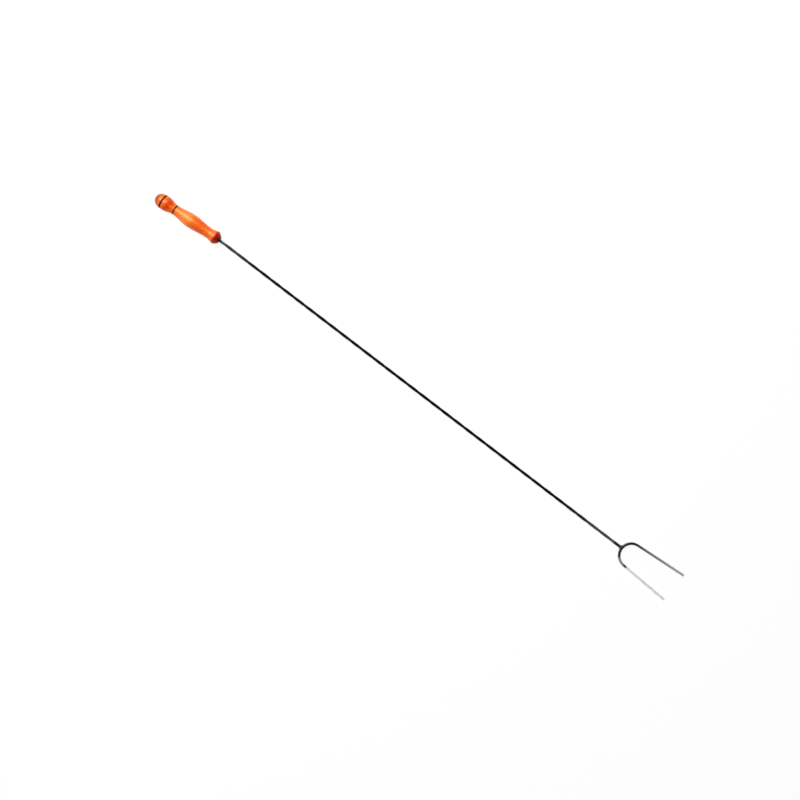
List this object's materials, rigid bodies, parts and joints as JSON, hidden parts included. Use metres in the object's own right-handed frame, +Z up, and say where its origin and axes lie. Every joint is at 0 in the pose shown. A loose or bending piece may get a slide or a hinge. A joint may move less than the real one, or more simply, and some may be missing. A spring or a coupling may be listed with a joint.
{
  "type": "roasting fork",
  "caption": "Long-handled roasting fork: turned wooden grip, twisted square rod and a bent bow head with straight blunt tines.",
  "frame": {"origin": "on the ground, under the middle of the fork as it lies at rest on the belly of its handle and the tips of its tines", "axes": "+X from the handle to the tines, +Y to the left tine as seen from the handle, +Z up"},
  "size_m": [1.0608, 0.055, 0.0243],
  "materials": {
    "lacquered_wood": "glossy orange lacquer over turned wood",
    "black_steel": "blackened, satin",
    "tine_steel": "blackened at the bow, bare ground steel towards the tips",
    "weld_steel": "ground weld, blued by heat"
  },
  "bodies": {
    "root": {"handle": "lacquered_wood", "rod": "black_steel", "fork_head": "tine_steel", "weld_bead": "weld_steel"}
  },
  "joints": []
}
